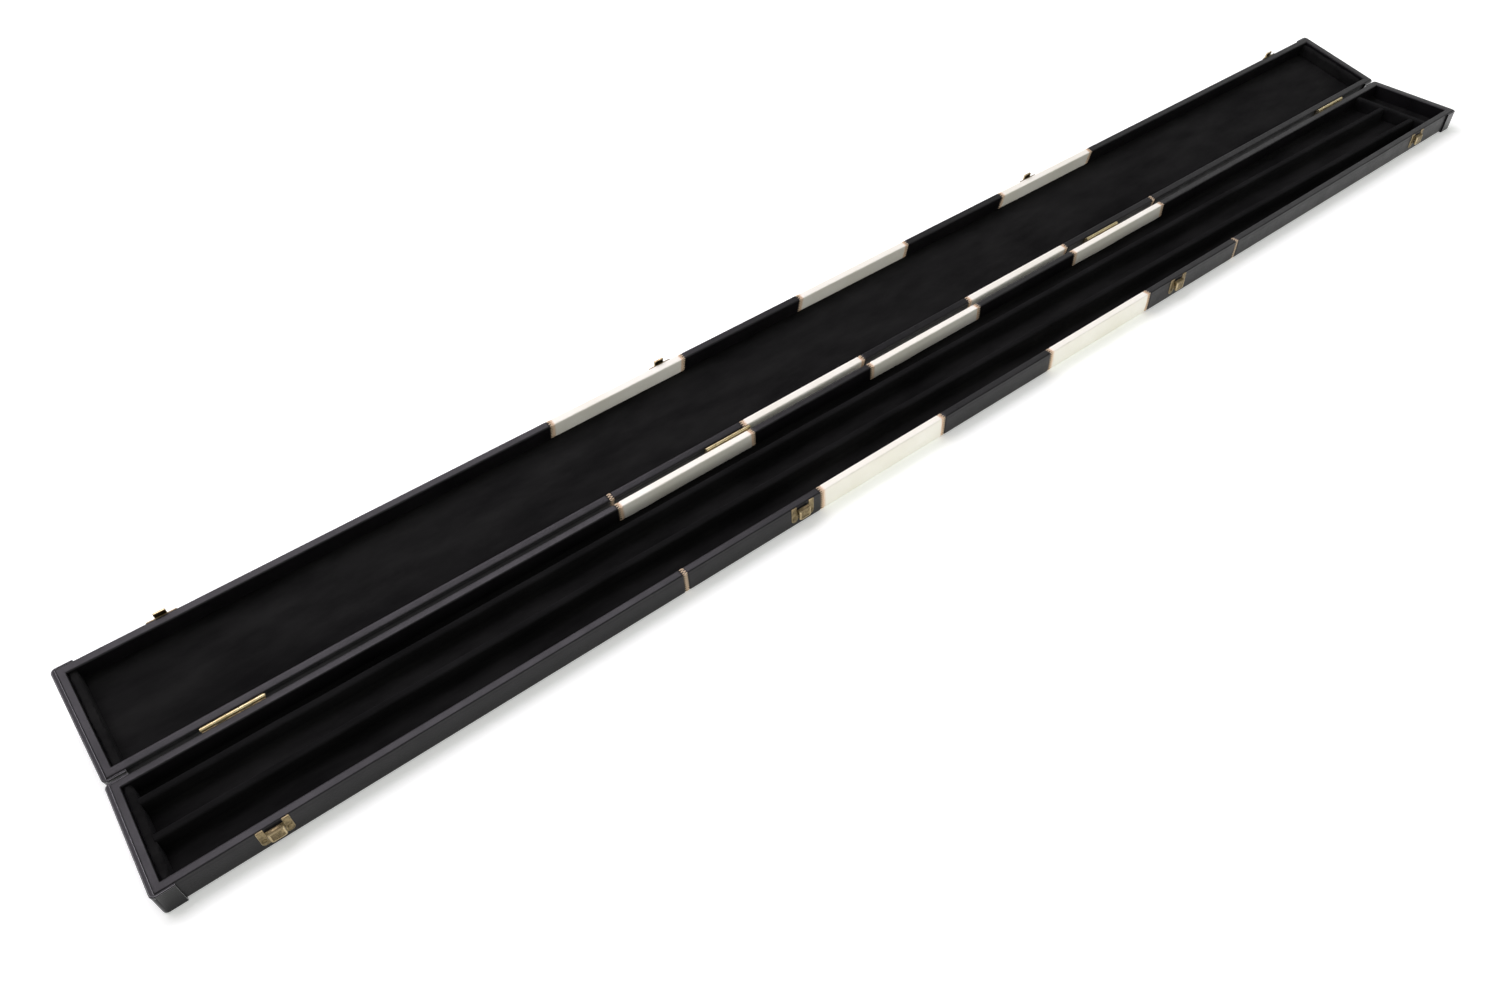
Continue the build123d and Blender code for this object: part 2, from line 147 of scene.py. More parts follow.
box_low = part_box("tray_broad_cover")[0]
hinge = next(j for j in frame["joints"] if j["name"] == "lid_hinge")
PIVOT = Matrix.Translation(Vector(hinge["pos_m"]))
TILT = PIVOT @ Matrix.Rotation(math.radians(LID_TILT), 4, "X") @ PIVOT.inverted()
TRAY = Matrix.Translation(box_low + Vector((0, 0, DEPTH * MM))) @ Matrix.Scale(MM, 4)
LID = TILT @ TRAY @ Matrix.Translation((0, WIDTH + GAP, 0))


# ---- outlines and surfaces ---------------------------------------------------------------

def rounded(corners, closed=True, arc=5):
    """An outline through (a, b, radius) corners, each turned with a short arc."""
    points = []
    for i, (a, b, radius) in enumerate(corners):
        corner = np.array((a, b), float)
        if radius == 0 or (not closed and i in (0, len(corners) - 1)):
            points.append(corner)
            continue
        before = np.array(corners[i - 1][:2], float) - corner
        after = np.array(corners[(i + 1) % len(corners)][:2], float) - corner
        before /= np.linalg.norm(before)
        after /= np.linalg.norm(after)
        half = math.acos(float(np.clip(before @ after, -1, 1))) / 2
        inward = (before + after) / np.linalg.norm(before + after)
        centre = corner + inward * radius / math.sin(half)
        start = corner + before * radius / math.tan(half) - centre
        end = corner + after * radius / math.tan(half) - centre
        first = math.atan2(start[1], start[0])
        turn = (math.atan2(end[1], end[0]) - first + math.pi) % (2 * math.pi) - math.pi
        for k in range(arc + 1):
            angle = first + turn * k / arc
            points.append(centre + radius * np.array((math.cos(angle), math.sin(angle))))
    return np.array(points)


def divided(points, spacing):
    """The same open line with no step longer than the spacing."""
    line = [points[0]]
    for a, b in zip(points[:-1], points[1:]):
        steps = max(1, math.ceil(np.linalg.norm(b - a) / spacing))
        line += [a + (b - a) * k / steps for k in range(1, steps + 1)]
    return np.array(line)


def ripples(seed, shortest, longest, stretch=1.0, count=30):
    """A smooth random field over two arrays in mm, mostly between -1 and 1."""
    rng = np.random.default_rng(seed)
    wavelength = np.exp(rng.uniform(math.log(shortest), math.log(longest), count))
    heading = rng.uniform(0, 2 * math.pi, count)
    phase = rng.uniform(0, 2 * math.pi, count)
    ka = 2 * math.pi / wavelength * np.cos(heading) / stretch
    kb = 2 * math.pi / wavelength * np.sin(heading)

    def field(a, b):
        a, b = np.broadcast_arrays(np.asarray(a, float), np.asarray(b, float))
        waves = np.sin(a[..., None] * ka + b[..., None] * kb + phase)
        return waves.sum(-1) / math.sqrt(count)

    return field


def loft(rings, closed=True, ends=True):
    """Quads between equal rings of points, and a face over each end."""
    rings = np.asarray(rings, float)
    count, size = rings.shape[:2]
    faces = []
    for i in range(count - 1):
        for j in range(size if closed else size - 1):
            k = (j + 1) % size
            faces.append((i * size + j, i * size + k, (i + 1) * size + k, (i + 1) * size + j))
    if ends:
        faces += [tuple(range(size)), tuple(range((count - 1) * size, count * size))]
    return rings.reshape(-1, 3), faces


def slab(x, y, top, bottom):
    """A closed sheet over a grid: x and y are 2-D arrays, top an array and bottom a height."""
    upper = np.stack([x, y, top], -1)
    lower = np.stack([x, y, np.full_like(x, bottom)], -1)
    rows, columns = x.shape
    size = rows * columns
    faces = []
    for i in range(rows - 1):
        for j in range(columns - 1):
            quad = (i * columns + j, i * columns + j + 1, (i + 1) * columns + j + 1,
                    (i + 1) * columns + j)
            faces += [quad, tuple(size + v for v in reversed(quad))]
    border = list(range(columns))
    border += [i * columns + columns - 1 for i in range(1, rows)]
    border += [(rows - 1) * columns + j for j in range(columns - 2, -1, -1)]
    border += [i * columns for i in range(rows - 2, 0, -1)]
    for a, b in zip(border, border[1:] + border[:1]):
        faces.append((a, a + size, b + size, b))
    return np.concatenate([upper.reshape(-1, 3), lower.reshape(-1, 3)]), faces


def piece(name, shapes, place, body, look, replaces=(), slot=None, bevel=0.0, seam=None,
          worn_highlit_look=None, worn_highlit_faces=()):
    """One object from a list of (points, faces), placed in the row frame and riding on a body.

    The second look goes on the bevelled edges and on the faces listed after it. It is lighter:
    on brass partly rubbed wear and partly a painted highlight, on the caps a painted highlight.
    """
    points, faces, start = [], [], 0
    for shape_points, shape_faces in shapes:
        points.append(np.asarray(shape_points, float))
        faces += [tuple(v + start for v in face) for face in shape_faces]
        start += len(shape_points)
    mesh = bpy.data.meshes.new(name)
    mesh.from_pydata([place @ Vector(p) for p in np.concatenate(points)], [], faces)
    if seam is not None:
        near = mesh.attributes.new("near_seam", "FLOAT", "POINT")
        near.data.foreach_set("value", np.asarray(seam, np.float32))
    bm = bmesh.new()
    bm.from_mesh(mesh)
    bmesh.ops.recalc_face_normals(bm, faces=bm.faces)
    bm.to_mesh(mesh)
    bm.free()
    mesh.shade_smooth()
    mesh.set_sharp_from_angle(angle=math.radians(38))
    mesh.materials.append(look)
    if worn_highlit_look:
        mesh.materials.append(worn_highlit_look)
        for face in worn_highlit_faces:
            mesh.polygons[face].material_index = 1
    made = bpy.data.objects.new(name, mesh)
    bpy.context.scene.collection.objects.link(made)
    if bevel:
        edges = made.modifiers.new("edges", "BEVEL")
        edges.width = bevel * MM
        edges.segments = 2
        edges.limit_method = "ANGLE"
        edges.angle_limit = math.radians(35)
        edges.harden_normals = True
        # the bevelled edges take the lighter second look: a painted highlight, on brass also
        # rubbed wear
        edges.material = 1 if worn_highlit_look else -1
    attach(made, body)
    if replaces:
        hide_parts(*replaces)
    return made


# ---- materials ---------------------------------------------------------------------------

class Look:
    """A node material: one Principled shader, with short calls for the nodes that feed it."""

    def __init__(self, name, **sockets):
        self.material = bpy.data.materials.new(name)
        self.material.use_nodes = True
        self.tree = self.material.node_tree
        self.shader = self.tree.nodes["Principled BSDF"]
        for socket, value in sockets.items():
            self.shader.inputs[socket.replace("_", " ")].default_value = value
        self.where = self.node("ShaderNodeTexCoord").outputs["Object"]

    def node(self, kind, settings=None, **inputs):
        made = self.tree.nodes.new(kind)
        for key, value in (settings or {}).items():
            setattr(made, key, value)
        for socket, value in inputs.items():
            self.feed(made.inputs[socket.replace("_", " ")], value)
        return made

    def feed(self, socket, value):
        if isinstance(value, bpy.types.NodeSocket):
            self.tree.links.new(value, socket)
        else:
            socket.default_value = value

    def stretched(self, scale):
        mapping = self.node("ShaderNodeMapping", Vector=self.where, Scale=scale)
        return mapping.outputs["Vector"]

    def noise(self, scale, detail=3.0, roughness=0.5, vector=None):
        made = self.node("ShaderNodeTexNoise", Vector=vector or self.where, Scale=scale,
                         Detail=detail, Roughness=roughness)
        return made.outputs["Fac"]

    def cells(self, scale):
        made = self.node("ShaderNodeTexVoronoi", {"feature": "SMOOTH_F1"}, Vector=self.where,
                         Scale=scale)
        return made.outputs["Distance"]

    def ramp(self, value, *stops):
        made = self.node("ShaderNodeValToRGB", Fac=value)
        elements = made.color_ramp.elements
        while len(elements) < len(stops):
            elements.new(0.5)
        for element, (place, colour) in zip(elements, stops):
            element.position = place
            element.color = (*colour, 1.0)
        return made.outputs["Color"]

    def range(self, value, low, high, start=0.0, end=1.0):
        made = self.node("ShaderNodeMapRange", Value=value, From_Min=start, From_Max=end,
                         To_Min=low, To_Max=high)
        return made.outputs["Result"]

    def sum(self, a, b, operation="ADD"):
        made = self.node("ShaderNodeMath", {"operation": operation})
        self.feed(made.inputs[0], a)
        self.feed(made.inputs[1], b)
        return made.outputs["Value"]

    def mix(self, factor, a, b):
        made = self.node("ShaderNodeMix", {"data_type": "RGBA"})
        self.feed(made.inputs[0], factor)
        self.feed(made.inputs[6], a)
        self.feed(made.inputs[7], b)
        return made.outputs[2]

    def colour(self, value):
        self.feed(self.shader.inputs["Base Color"], value)

    def rough(self, value):
        self.feed(self.shader.inputs["Roughness"], value)

    def bump(self, height, distance, strength=1.0):
        made = self.node("ShaderNodeBump", Height=height, Distance=distance * MM,
                         Strength=strength)
        self.feed(self.shader.inputs["Normal"], made.outputs["Normal"])


def leather(name, dark, light, roughness, specular, wear, relief, seam_tint=None):
    """Coated leather: pebbled grain, soft cloudy colour and worn patches.

    seam_tint colours the leather beside a seam, where the near_seam attribute is high.
    """
    look = Look(name, Specular_IOR_Level=specular)
    pebbles = look.cells(950.0)
    pores = look.noise(3800.0, 2.0)
    clouds = look.noise(26.0, 4.0)
    colour = look.ramp(clouds, (0.3, dark), (0.72, light))
    if seam_tint:
        near = look.node("ShaderNodeAttribute", {"attribute_name": "near_seam"}).outputs["Fac"]
        blot = look.sum(near, look.range(look.noise(900.0), 0.55, 1.0), "MULTIPLY")
        colour = look.mix(blot, colour, (*seam_tint, 1.0))
    look.colour(colour)
    worn = look.range(look.noise(60.0, 5.0, 0.6), -wear, wear, 0.35, 0.65)
    look.rough(look.sum(look.range(pebbles, roughness - 0.05, roughness + 0.07), worn))
    look.bump(look.sum(pebbles, look.range(pores, 0.0, 0.4)), 0.16, relief)
    return look.material


def velvet(name, base, tuft, sheen, pile=0.45):
    """Short black pile: faint sheen at grazing angles, brushed patches and a fine nap."""
    look = Look(name, Sheen_Weight=sheen, Sheen_Roughness=0.42, Roughness=0.92,
                Specular_IOR_Level=0.05)
    look.shader.inputs["Sheen Tint"].default_value = (0.62, 0.62, 0.66, 1.0)
    brushed = look.noise(1.0, 5.0, 0.6, look.stretched((14.0, 46.0, 46.0)))
    nap = look.noise(2600.0, 3.0, 0.7)
    lay = look.sum(look.range(brushed, 0.0, 0.75, 0.3, 0.7), look.range(nap, 0.0, 0.25))
    look.colour(look.ramp(lay, (0.1, base), (0.9, tuft)))
    look.bump(look.sum(look.range(nap, 0.0, 1.0), look.range(brushed, 0.0, 0.8)), pile, 0.55)
    return look.material


def antique_brass(name, bright, tarnish, roughness):
    """Aged brass: brown tarnish in patches, fine scratches and pits."""
    look = Look(name, Metallic=1.0)
    patches = look.noise(260.0, 6.0, 0.62)
    pits = look.noise(1500.0, 3.0, 0.6)
    scratches = look.noise(1.0, 3.0, 0.6, look.stretched((2600.0, 500.0, 260.0)))
    tone = look.sum(patches, look.range(scratches, -0.1, 0.1, 0.3, 0.7))
    look.colour(look.ramp(tone, (0.36, tarnish), (0.66, bright)))
    look.rough(look.range(look.sum(patches, scratches), roughness + 0.14, roughness - 0.08,
                          0.75, 1.25))
    look.bump(look.sum(look.sum(patches, scratches), pits), 0.035, 0.5)
    return look.material


def moulded_plastic(name, specular, coat, dark, light):
    """Black injection-moulded caps: gloss with a faint orange-peel texture and dust scuffs."""
    look = Look(name, Specular_IOR_Level=specular, Coat_Weight=coat, Coat_Roughness=0.12)
    peel = look.noise(700.0, 2.0)
    scuffs = look.noise(1.0, 4.0, 0.7, look.stretched((160.0, 160.0, 900.0)))
    look.colour(look.ramp(scuffs, (0.35, dark), (0.8, light)))
    look.rough(look.range(scuffs, 0.16, 0.32, 0.35, 0.8))
    look.bump(peel, 0.02, 0.5)
    return look.material


def plywood(name):
    """Pale ply: long grain with darker pores."""
    look = Look(name, Roughness=0.7)
    grain = look.noise(1.0, 6.0, 0.65, look.stretched((9.0, 420.0, 420.0)))
    pores = look.noise(1.0, 3.0, 0.6, look.stretched((60.0, 2200.0, 2200.0)))
    look.colour(look.ramp(look.sum(grain, look.range(pores, -0.12, 0.12)),
                          (0.3, (0.36, 0.23, 0.12)), (0.7, (0.62, 0.45, 0.27))))
    look.bump(pores, 0.08, 0.6)
    return look.material


def sewing_thread(name, shade, light):
    """Waxed cotton thread with a twist."""
    look = Look(name, Roughness=0.62, Sheen_Weight=0.25)
    twist = look.node("ShaderNodeTexWave", {"bands_direction": "DIAGONAL"}, Vector=look.where,
                      Scale=520.0, Distortion=1.5).outputs["Fac"]
    fuzz = look.noise(1500.0)
    look.colour(look.ramp(look.sum(look.range(twist, 0.0, 0.6), look.range(fuzz, 0.0, 0.4)),
                          (0.15, shade), (0.8, light)))
    look.bump(twist, 0.06, 0.7)
    return look.material


def steel(name, colour, roughness):
    """Drawn steel with fine lengthwise lines."""
    look = Look(name, Metallic=1.0)
    lines = look.noise(1.0, 4.0, 0.6, look.stretched((120.0, 4000.0, 4000.0)))
    look.colour(look.ramp(lines, (0.3, tuple(c * 0.7 for c in colour)), (0.7, colour)))
    look.rough(look.range(lines, roughness, roughness + 0.15))
    look.bump(lines, 0.01, 0.4)
    return look.material


BLACK = leather("black_leather", (0.004, 0.0037, 0.0043), (0.008, 0.0073, 0.008), 0.35, 0.26,
                0.05, 0.45)
CREAM = leather("cream_leather", (0.88, 0.86, 0.74), (0.94, 0.925, 0.83), 0.46, 0.4, 0.05, 0.8,
                seam_tint=(0.80, 0.50, 0.30))
VELVET = velvet("black_velvet", (0.003, 0.003, 0.003), (0.012, 0.012, 0.0115), 0.02)
LID_VELVET = velvet("lid_velvet", (0.005, 0.005, 0.005), (0.014, 0.014, 0.0135), 0.01)
RIB_VELVET = velvet("rib_velvet", (0.003, 0.003, 0.003), (0.010, 0.010, 0.010), 0.03)
PLASTIC = moulded_plastic("cap_plastic", 0.14, 0.0, (0.006, 0.006, 0.0065),
                          (0.016, 0.016, 0.017))
# Cap edges: a glossier black with a lighter base, a painted highlight along the bevelled edges
CAP_EDGE_HIGHLIGHT_LOOK = moulded_plastic("cap_edge_highlight_plastic", 1.0, 1.0, (0.02, 0.02, 0.021),
                                (0.07, 0.07, 0.072))
BRASS = antique_brass("antique_brass", (0.30, 0.235, 0.125), (0.12, 0.092, 0.05), 0.40)
# Lighter brass for edges, the levers' front facets and the strike noses: partly rubbed wear,
# partly a painted highlight
WORN_HIGHLIT_BRASS = antique_brass("worn_highlit_brass", (0.56, 0.46, 0.28), (0.36, 0.28, 0.155), 0.32)
# Bright brass for the hinge barrels, pins and screws: polished brass, on the barrels partly a
# painted highlight
HINGE_BRASS = antique_brass("hinge_brass", (0.76, 0.66, 0.40), (0.50, 0.41, 0.21), 0.28)
WOOD = plywood("ply_core")
THREAD_LOOK = sewing_thread("seam_thread", (0.48, 0.32, 0.18), (0.92, 0.76, 0.55))
PIN_STEEL = steel("pin_steel", (0.55, 0.53, 0.50), 0.25)
SPRING_STEEL = steel("spring_steel", (0.30, 0.30, 0.32), 0.3)


# ---- the leather on each half ------------------------------------------------------------

class Half:
    """One half of the case: its body's name, where it is and the names of its long sides."""

    def __init__(self, name, place, board, near, far):
        self.name = name
        self.place = place
        self.board_top = -DEPTH + SKIN + board
        self.sides = ((near, 0), (far, 1))

    def across(self, u, far):
        """The y of a point u in from the outside of a long wall."""
        return WIDTH - u if far else u


HALVES = (Half("tray", TRAY, 3.0, "latch_side", "hinge_side"),
          Half("lid", LID, 2.4, "hinge_side", "latch_side"))
cloudy = ripples(3, 14.0, 90.0)


def skin_line(board_top, groove):
    """The leather's outer line round a long wall: under, up the outside, over the rim, down."""
    corners = [(TURN_UNDER, -DEPTH, 0), (0, -DEPTH, RIM_ROUND), (0, 0, RIM_ROUND),
               (SIDE_RIM, 0, RIM_ROUND), (SIDE_RIM, board_top, 0)]
    line = divided(rounded(corners, closed=False), 1.3)
    step = np.gradient(line, axis=0)
    step /= np.linalg.norm(step, axis=1)[:, None]
    outward = np.stack([-step[:, 1], step[:, 0]], 1)
    puff = np.zeros(len(line))
    outside = line[:, 0] < 0.05
    puff[outside] = 0.18 * np.sin(np.pi * (line[outside, 1] + DEPTH) / DEPTH)
    if groove:
        near = np.exp(-((line[:, 1] - GROOVE_Z) / 0.55) ** 2)
        puff = puff - outside * GROOVE_DEPTH * near
    return line, outward, puff


def lining_line(board_top):
    """The back of the same leather, against the wood."""
    inner = SIDE_RIM - SKIN
    return np.array([(inner, board_top), (inner, -SKIN), (SKIN, -SKIN), (SKIN, SKIN - DEPTH),
                     (TURN_UNDER, SKIN - DEPTH)])


def seam_dip(away):
    """How far the leather is drawn in at a distance from a seam."""
    t = min(1.0, max(0.0, (SEAM_EDGE - away) / (SEAM_EDGE - SEAM_FLAT)))
    return SEAM_DIP * t * t * (3 - 2 * t)


def stations(x0, x1, spacing=4.0, fine=(1.0, 2.0, 2.3, 2.6, 2.9, 3.2)):
    """Places along x, closer together near both ends."""
    inside = np.linspace(x0 + fine[-1] + 1, x1 - fine[-1] - 1,
                         max(2, int((x1 - x0) / spacing)))
    return np.concatenate([[x0], [x0 + f for f in fine], inside,
                           [x1 - f for f in reversed(fine)], [x1]])


def side_skin(half, far, x0, x1, seams, mitre=None, groove=True, puffed=1.0):
    """Leather over a stretch of a long wall. It dips at its seams and is mitred at a corner."""
    line, outward, puff = skin_line(half.board_top, groove)
    back = lining_line(half.board_top)
    xs = stations(x0, x1)
    if mitre == "left":
        xs = np.concatenate([[0.0], xs[xs > END_RIM + 0.5]])
    if mitre == "right":
        xs = np.concatenate([xs[xs < LENGTH - END_RIM - 0.5], [LENGTH]])
    rings, near = [], []
    for x in xs:
        away = min(abs(x - s) for s in seams)
        dip = seam_dip(away)
        wave = 0.07 * cloudy(x, line[:, 0] + line[:, 1] + 200 * far)
        lift = puff * puffed + wave * (np.abs(outward[:, 1]) < 0.5) - dip
        skin = line + outward * lift[:, None]
        section = np.concatenate([skin, back])
        offset = np.zeros(len(section))
        if mitre == "left" and x == xs[0]:
            offset = np.clip(section[:, 0], 0, SIDE_RIM) * END_RIM / SIDE_RIM
        if mitre == "right" and x == xs[-1]:
            offset = -np.clip(section[:, 0], 0, SIDE_RIM) * END_RIM / SIDE_RIM
        rings.append([(x + o, half.across(u, far), z) for o, (u, z) in zip(offset, section)])
        near += [math.exp(-(away / 2.6) ** 4)] * len(section)
    return loft(rings), near


def end_skin(half, right):
    """Leather over an end wall, mitred to the side leather at both corners."""
    line, outward, _ = skin_line(half.board_top, False)
    section = np.concatenate([line, lining_line(half.board_top)])
    section[:, 0] *= END_RIM / SIDE_RIM
    reach = np.clip(section[:, 0], 0, END_RIM) * SIDE_RIM / END_RIM
    ys = np.linspace(SIDE_RIM + 1, WIDTH - SIDE_RIM - 1, 22)
    rings = []
    for i in range(-1, len(ys) + 1):
        along = ys[i] if 0 <= i < len(ys) else None
        ring = []
        for (v, z), r in zip(section, reach):
            y = along if along is not None else (r if i < 0 else WIDTH - r)
            ring.append((LENGTH - v if right else v, y, z))
        rings.append(ring)
    return loft(rings)


def broad_skin(half):
    """The sheet glued over the broad outer face, between the turned-under strips."""
    edge = TURN_UNDER - 0.15
    xs = stations(END_RIM - 1, LENGTH - END_RIM + 1, 14.0)
    ys = stations(edge, WIDTH - edge, 7.0, (0.3, 0.8, 1.6))
    x, y = np.meshgrid(xs, ys, indexing="ij")
    rim = np.minimum.reduce([x - xs[0], xs[-1] - x, y - ys[0], ys[-1] - y])
    fall = 0.25 * np.exp(-(rim / 0.5) ** 2)
    outer = -DEPTH + fall + 0.03 * cloudy(x, y)
    return slab(x, y, outer, -DEPTH + SKIN)


def seam_thread(half, far, x):
    """Zigzag stitches over a butt seam, from under the wall up and over to the lining."""
    line, outward, puff = skin_line(half.board_top, False)
    line = line + outward * puff[:, None]
    travel = np.concatenate([[0], np.cumsum(np.linalg.norm(np.diff(line, axis=0), axis=1))])
    count = int((travel[-1] - 1.2) / STITCH_STEP)
    samples = ((0.0, -0.75), (0.14, -0.36), (0.5, -0.30), (0.86, -0.36))
    path = []
    for i in range(count):
        side = -1 if i % 2 else 1
        for t, height in samples:
            s = 0.6 + (i + t) * STITCH_STEP
            at = np.array([np.interp(s, travel, line[:, k]) for k in (0, 1)])
            out = np.array([np.interp(s, travel, outward[:, k]) for k in (0, 1)])
            out /= np.linalg.norm(out)
            u, z = at + out * height
            path.append((x + side * STITCH_HALF * (1 - 2 * t), half.across(u, far), z))
    return tube(np.array(path), THREAD, 6)


def tube(path, radius, sides):
    """A round tube along a path of points."""
    forward = np.gradient(path, axis=0)
    forward /= np.linalg.norm(forward, axis=1)[:, None]
    across = np.cross(forward, (0.31, 0.52, 0.79))
    across /= np.linalg.norm(across, axis=1)[:, None]
    other = np.cross(forward, across)
    angles = np.arange(sides) * 2 * math.pi / sides
    rings = [[p + radius * (math.cos(a) * u + math.sin(a) * v) for a in angles]
             for p, u, v in zip(path, across, other)]
    return loft(rings)


def dress_half(half):
    """All the leather and every seam of one half."""
    seams = [PATCH_START + PATCH * k for k in range(PATCHES + 1)]
    for side, far in half.sides:
        prefix = f"{half.name}_{side}"
        first, last = seams[0], seams[-1]
        left, near = side_skin(half, far, 0, first, [first], "left")
        piece(f"{prefix}_leather_left", [left], half.place, half.name, BLACK,
              [f"{prefix}_cover_left"], "black_leather", seam=near)
        right, near = side_skin(half, far, last, LENGTH, [last], "right")
        piece(f"{prefix}_leather_right", [right], half.place, half.name, BLACK,
              [f"{prefix}_cover_right"], "black_leather", seam=near)
        for look, start, node, slot in ((BLACK, far, "patches_black", "black_leather"),
                                        (CREAM, 1 - far, "patches_cream", "cream_leather")):
            shapes, near = [], []
            for k in range(start, PATCHES, 2):
                shape, shape_near = side_skin(half, far, seams[k], seams[k + 1], seams,
                                              groove=look is BLACK,
                                              puffed=1.0 if look is BLACK else 2.2)
                shapes.append(shape)
                near += shape_near
            piece(f"{prefix}_leather_{node}", shapes, half.place, half.name, look,
                  [f"{prefix}_{node}"], slot, seam=near)
        threads = [seam_thread(half, far, x) for x in seams]
        piece(f"{prefix}_seam_stitches", threads, half.place, half.name, THREAD_LOOK)
    for right, end in ((False, "left"), (True, "right")):
        piece(f"{half.name}_{end}_end_leather", [end_skin(half, right)], half.place, half.name,
              BLACK, [f"{half.name}_{end}_end_cover"], "black_leather")
        # the caps' bevelled edges carry a painted highlight in the lighter edge plastic
        piece(f"{half.name}_{end}_end_cap", [end_cap(right)], half.place, half.name, PLASTIC,
              [f"{half.name}_{end}_cap"], "cap_plastic", bevel=0.4, worn_highlit_look=CAP_EDGE_HIGHLIGHT_LOOK)
    piece(f"{half.name}_broad_leather", [broad_skin(half)], half.place, half.name, BLACK,
          [f"{half.name}_broad_cover"], "black_leather")
    for side, far in half.sides:
        piece(f"{half.name}_{side}_core", [wall_core(half, far)], half.place, half.name, WOOD,
              [f"{half.name}_{side}_wall"], "wood_core")


def wall_core(half, far):
    """The long wall's wood, with eased edges, just short of the leather at both ends."""
    ease = 0.8
    section = rounded([(SKIN, -DEPTH + SKIN, 0), (SKIN, -SKIN, ease),
                       (SIDE_RIM - SKIN, -SKIN, ease), (SIDE_RIM - SKIN, -DEPTH + SKIN, 0)])
    return loft([[(x, half.across(u, far), z) for u, z in section]
                 for x in np.linspace(END_RIM - 1.0, LENGTH - END_RIM + 1.0, 40)])


def end_cap(right):
    """Moulded cap: a rounded end wall and two short returns on a bottom plate."""
    low = -DEPTH - CAP_BOTTOM

    def outside(offset, radius):
        """The U-shaped line round the end, at an offset in from the outside."""
        x_end, near, far = -CAP_END + offset, -CAP_SIDE + offset, WIDTH + CAP_SIDE - offset
        return rounded([(CAP_RETURN, near, 0), (x_end, near, radius), (x_end, far, radius),
                        (CAP_RETURN, far, 0)], closed=False, arc=8)

    def inside():
        """The same line against the leather, with the same number of points."""
        return rounded([(CAP_RETURN, 0, 0), (0, 0, 0.4), (0, WIDTH, 0.4), (CAP_RETURN, WIDTH, 0)],
                       closed=False, arc=8)

    levels = [(inside(), -DEPTH), (inside(), CAP_TOP), (outside(0.6, CAP_CORNER), CAP_TOP),
              (outside(0.0, CAP_CORNER), CAP_TOP - 0.6), (outside(0.0, CAP_CORNER), CAP_TOP - 2.0),
              (outside(0.18, CAP_CORNER), CAP_TOP - 2.3)]
    for angle in range(0, 91, 15):
        turn = math.radians(angle)
        inset = 0.18 + (CAP_EDGE - 0.18) * (1 - math.cos(turn))
        levels.append((outside(inset, CAP_CORNER - inset * 0.8),
                       low + CAP_EDGE - CAP_EDGE * math.sin(turn)))
    rings = [[((LENGTH - x) if right else x, y, z) for x, y in outline]
             for outline, z in levels]
    points, faces = loft(rings, closed=False, ends=False)
    size = len(rings[0])
    faces.append(tuple(range(size)))
    faces.append(tuple(range((len(rings) - 1) * size, len(rings) * size)))
    first = [i * size for i in range(len(rings))]
    last = [i * size + size - 1 for i in range(len(rings))]
    faces.append(tuple(first + last[::-1]))
    return points, faces


for half in HALVES:
    dress_half(half)


# ---- velvet inside -----------------------------------------------------------------------

soft = ripples(8, 18.0, 120.0, 2.5)


def bowed(front_edge, x):
    """The y of a rib's front edge at x: a shallow curve through three values."""
    x0 = END_RIM + END_PAD
    t = (x - x0) / (RAIL_X - x0)
    start, middle, end = front_edge
    return (start + (4 * middle - end - 3 * start) * t
            + (2 * start + 2 * end - 4 * middle) * t * t)


def cove(distance, radius=COVE, height=0.5):
    """The soft rise of glued velvet towards a wall."""
    d = np.clip(distance / radius, 0, 1)
    return radius * height * (1 - np.sqrt(1 - (1 - d) ** 2))


def floor_grid(xs, walls, end_walls):
    """A stretch of the tray's floor. walls gives the y spans of its channels at each x."""
    shares = np.array([0, 0.03, 0.07, 0.13, 0.22, 0.35, 0.5, 0.65, 0.78, 0.87, 0.93, 0.97, 1])
    x_rows, y_rows, z_rows = [], [], []
    for x in xs:
        ys, rise = [], []
        for low, high in walls(x):
            y = low + (high - low) * shares
            ys.append(y)
            rise.append(cove(y - low) + cove(high - y))
        y = np.concatenate(ys)
        end = min(abs(x - e) for e in end_walls)
        z = TRAY_FLOOR + np.concatenate(rise) + cove(np.array(end), 3.0) + 0.12 * soft(x, y)
        x_rows.append(np.full(len(y), x))
        y_rows.append(y)
        z_rows.append(z)
    return slab(np.array(x_rows), np.array(y_rows), np.array(z_rows), TRAY_FLOOR - TRAY_LINING)


def channels(x):
    """The y spans of the tray's three channels at x."""
    front, back = bowed(FRONT_RIB_FRONT, x), bowed(BACK_RIB_FRONT, x)
    return ((SIDE_RIM, front), (front + RIB_WIDTH, back), (back + RIB_WIDTH, WIDTH - SIDE_RIM))


def rib(front_edge):
    """A velvet-covered rib with a rounded top and a slightly flared foot."""
    half = RIB_WIDTH / 2
    section = rounded([(-half, TRAY_FLOOR - 0.3, 0), (-half, RIB_TOP, 2.0), (half, RIB_TOP, 2.0),
                       (half, TRAY_FLOOR - 0.3, 0)], closed=False)
    section = divided(section, 2.4)
    rings = []
    for x in np.linspace(END_RIM + END_PAD - 0.6, RAIL_X + 0.6, 150):
        centre = bowed(front_edge, x) + half
        wander = 0.16 * soft(x, centre + section[:, 1])
        foot = 0.5 * np.clip((TRAY_FLOOR + 3 - section[:, 1]) / 3, 0, 1) ** 2
        side = np.sign(section[:, 0])
        rings.append([(x, centre + y + w + s * f, z + 0.1 * w)
                      for (y, z), w, s, f in zip(section, wander, side, foot)])
    return loft(rings)


